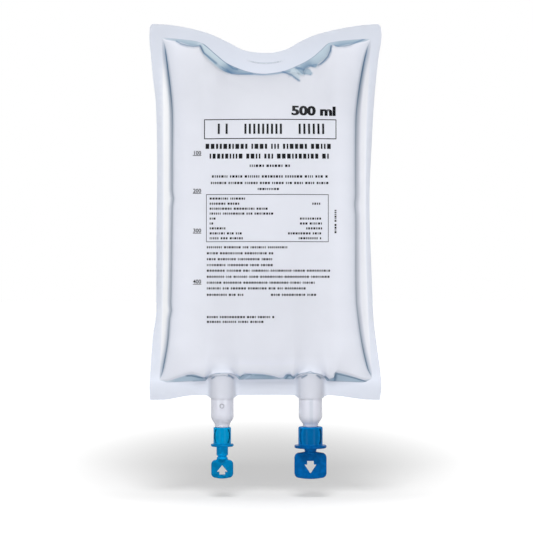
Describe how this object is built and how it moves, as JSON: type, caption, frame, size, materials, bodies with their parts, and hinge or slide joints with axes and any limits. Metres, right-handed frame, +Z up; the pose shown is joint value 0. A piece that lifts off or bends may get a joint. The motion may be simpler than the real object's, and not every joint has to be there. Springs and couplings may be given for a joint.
{
  "type": "iv fluid bag",
  "caption": "Filled film bag of infusion fluid hung by its slit, with an injection port and an infusion port under blue break-off caps.",
  "frame": {"origin": "middle of the hang slit, on the seam between the two films", "axes": "+Z up along the bag as it hangs, +X to the right seen from the printed front, -Y out of the printed front"},
  "size_m": [0.1358, 0.0408, 0.266],
  "materials": {
    "film": "soft gloss, milky clear, printed in black on the front",
    "solution": "clear liquid",
    "port_tube": "clear, glossy",
    "septum": "matte",
    "injection_cap": "light blue, satin gloss",
    "infusion_cap": "dark blue, satin gloss"
  },
  "bodies": {
    "root": {"front_film": "film", "back_film": "film", "solution": "solution", "injection_port_tube": "port_tube", "infusion_port_tube": "port_tube", "injection_septum": "septum", "infusion_septum": "septum", "injection_cap": "injection_cap", "infusion_cap": "infusion_cap"}
  },
  "joints": []
}
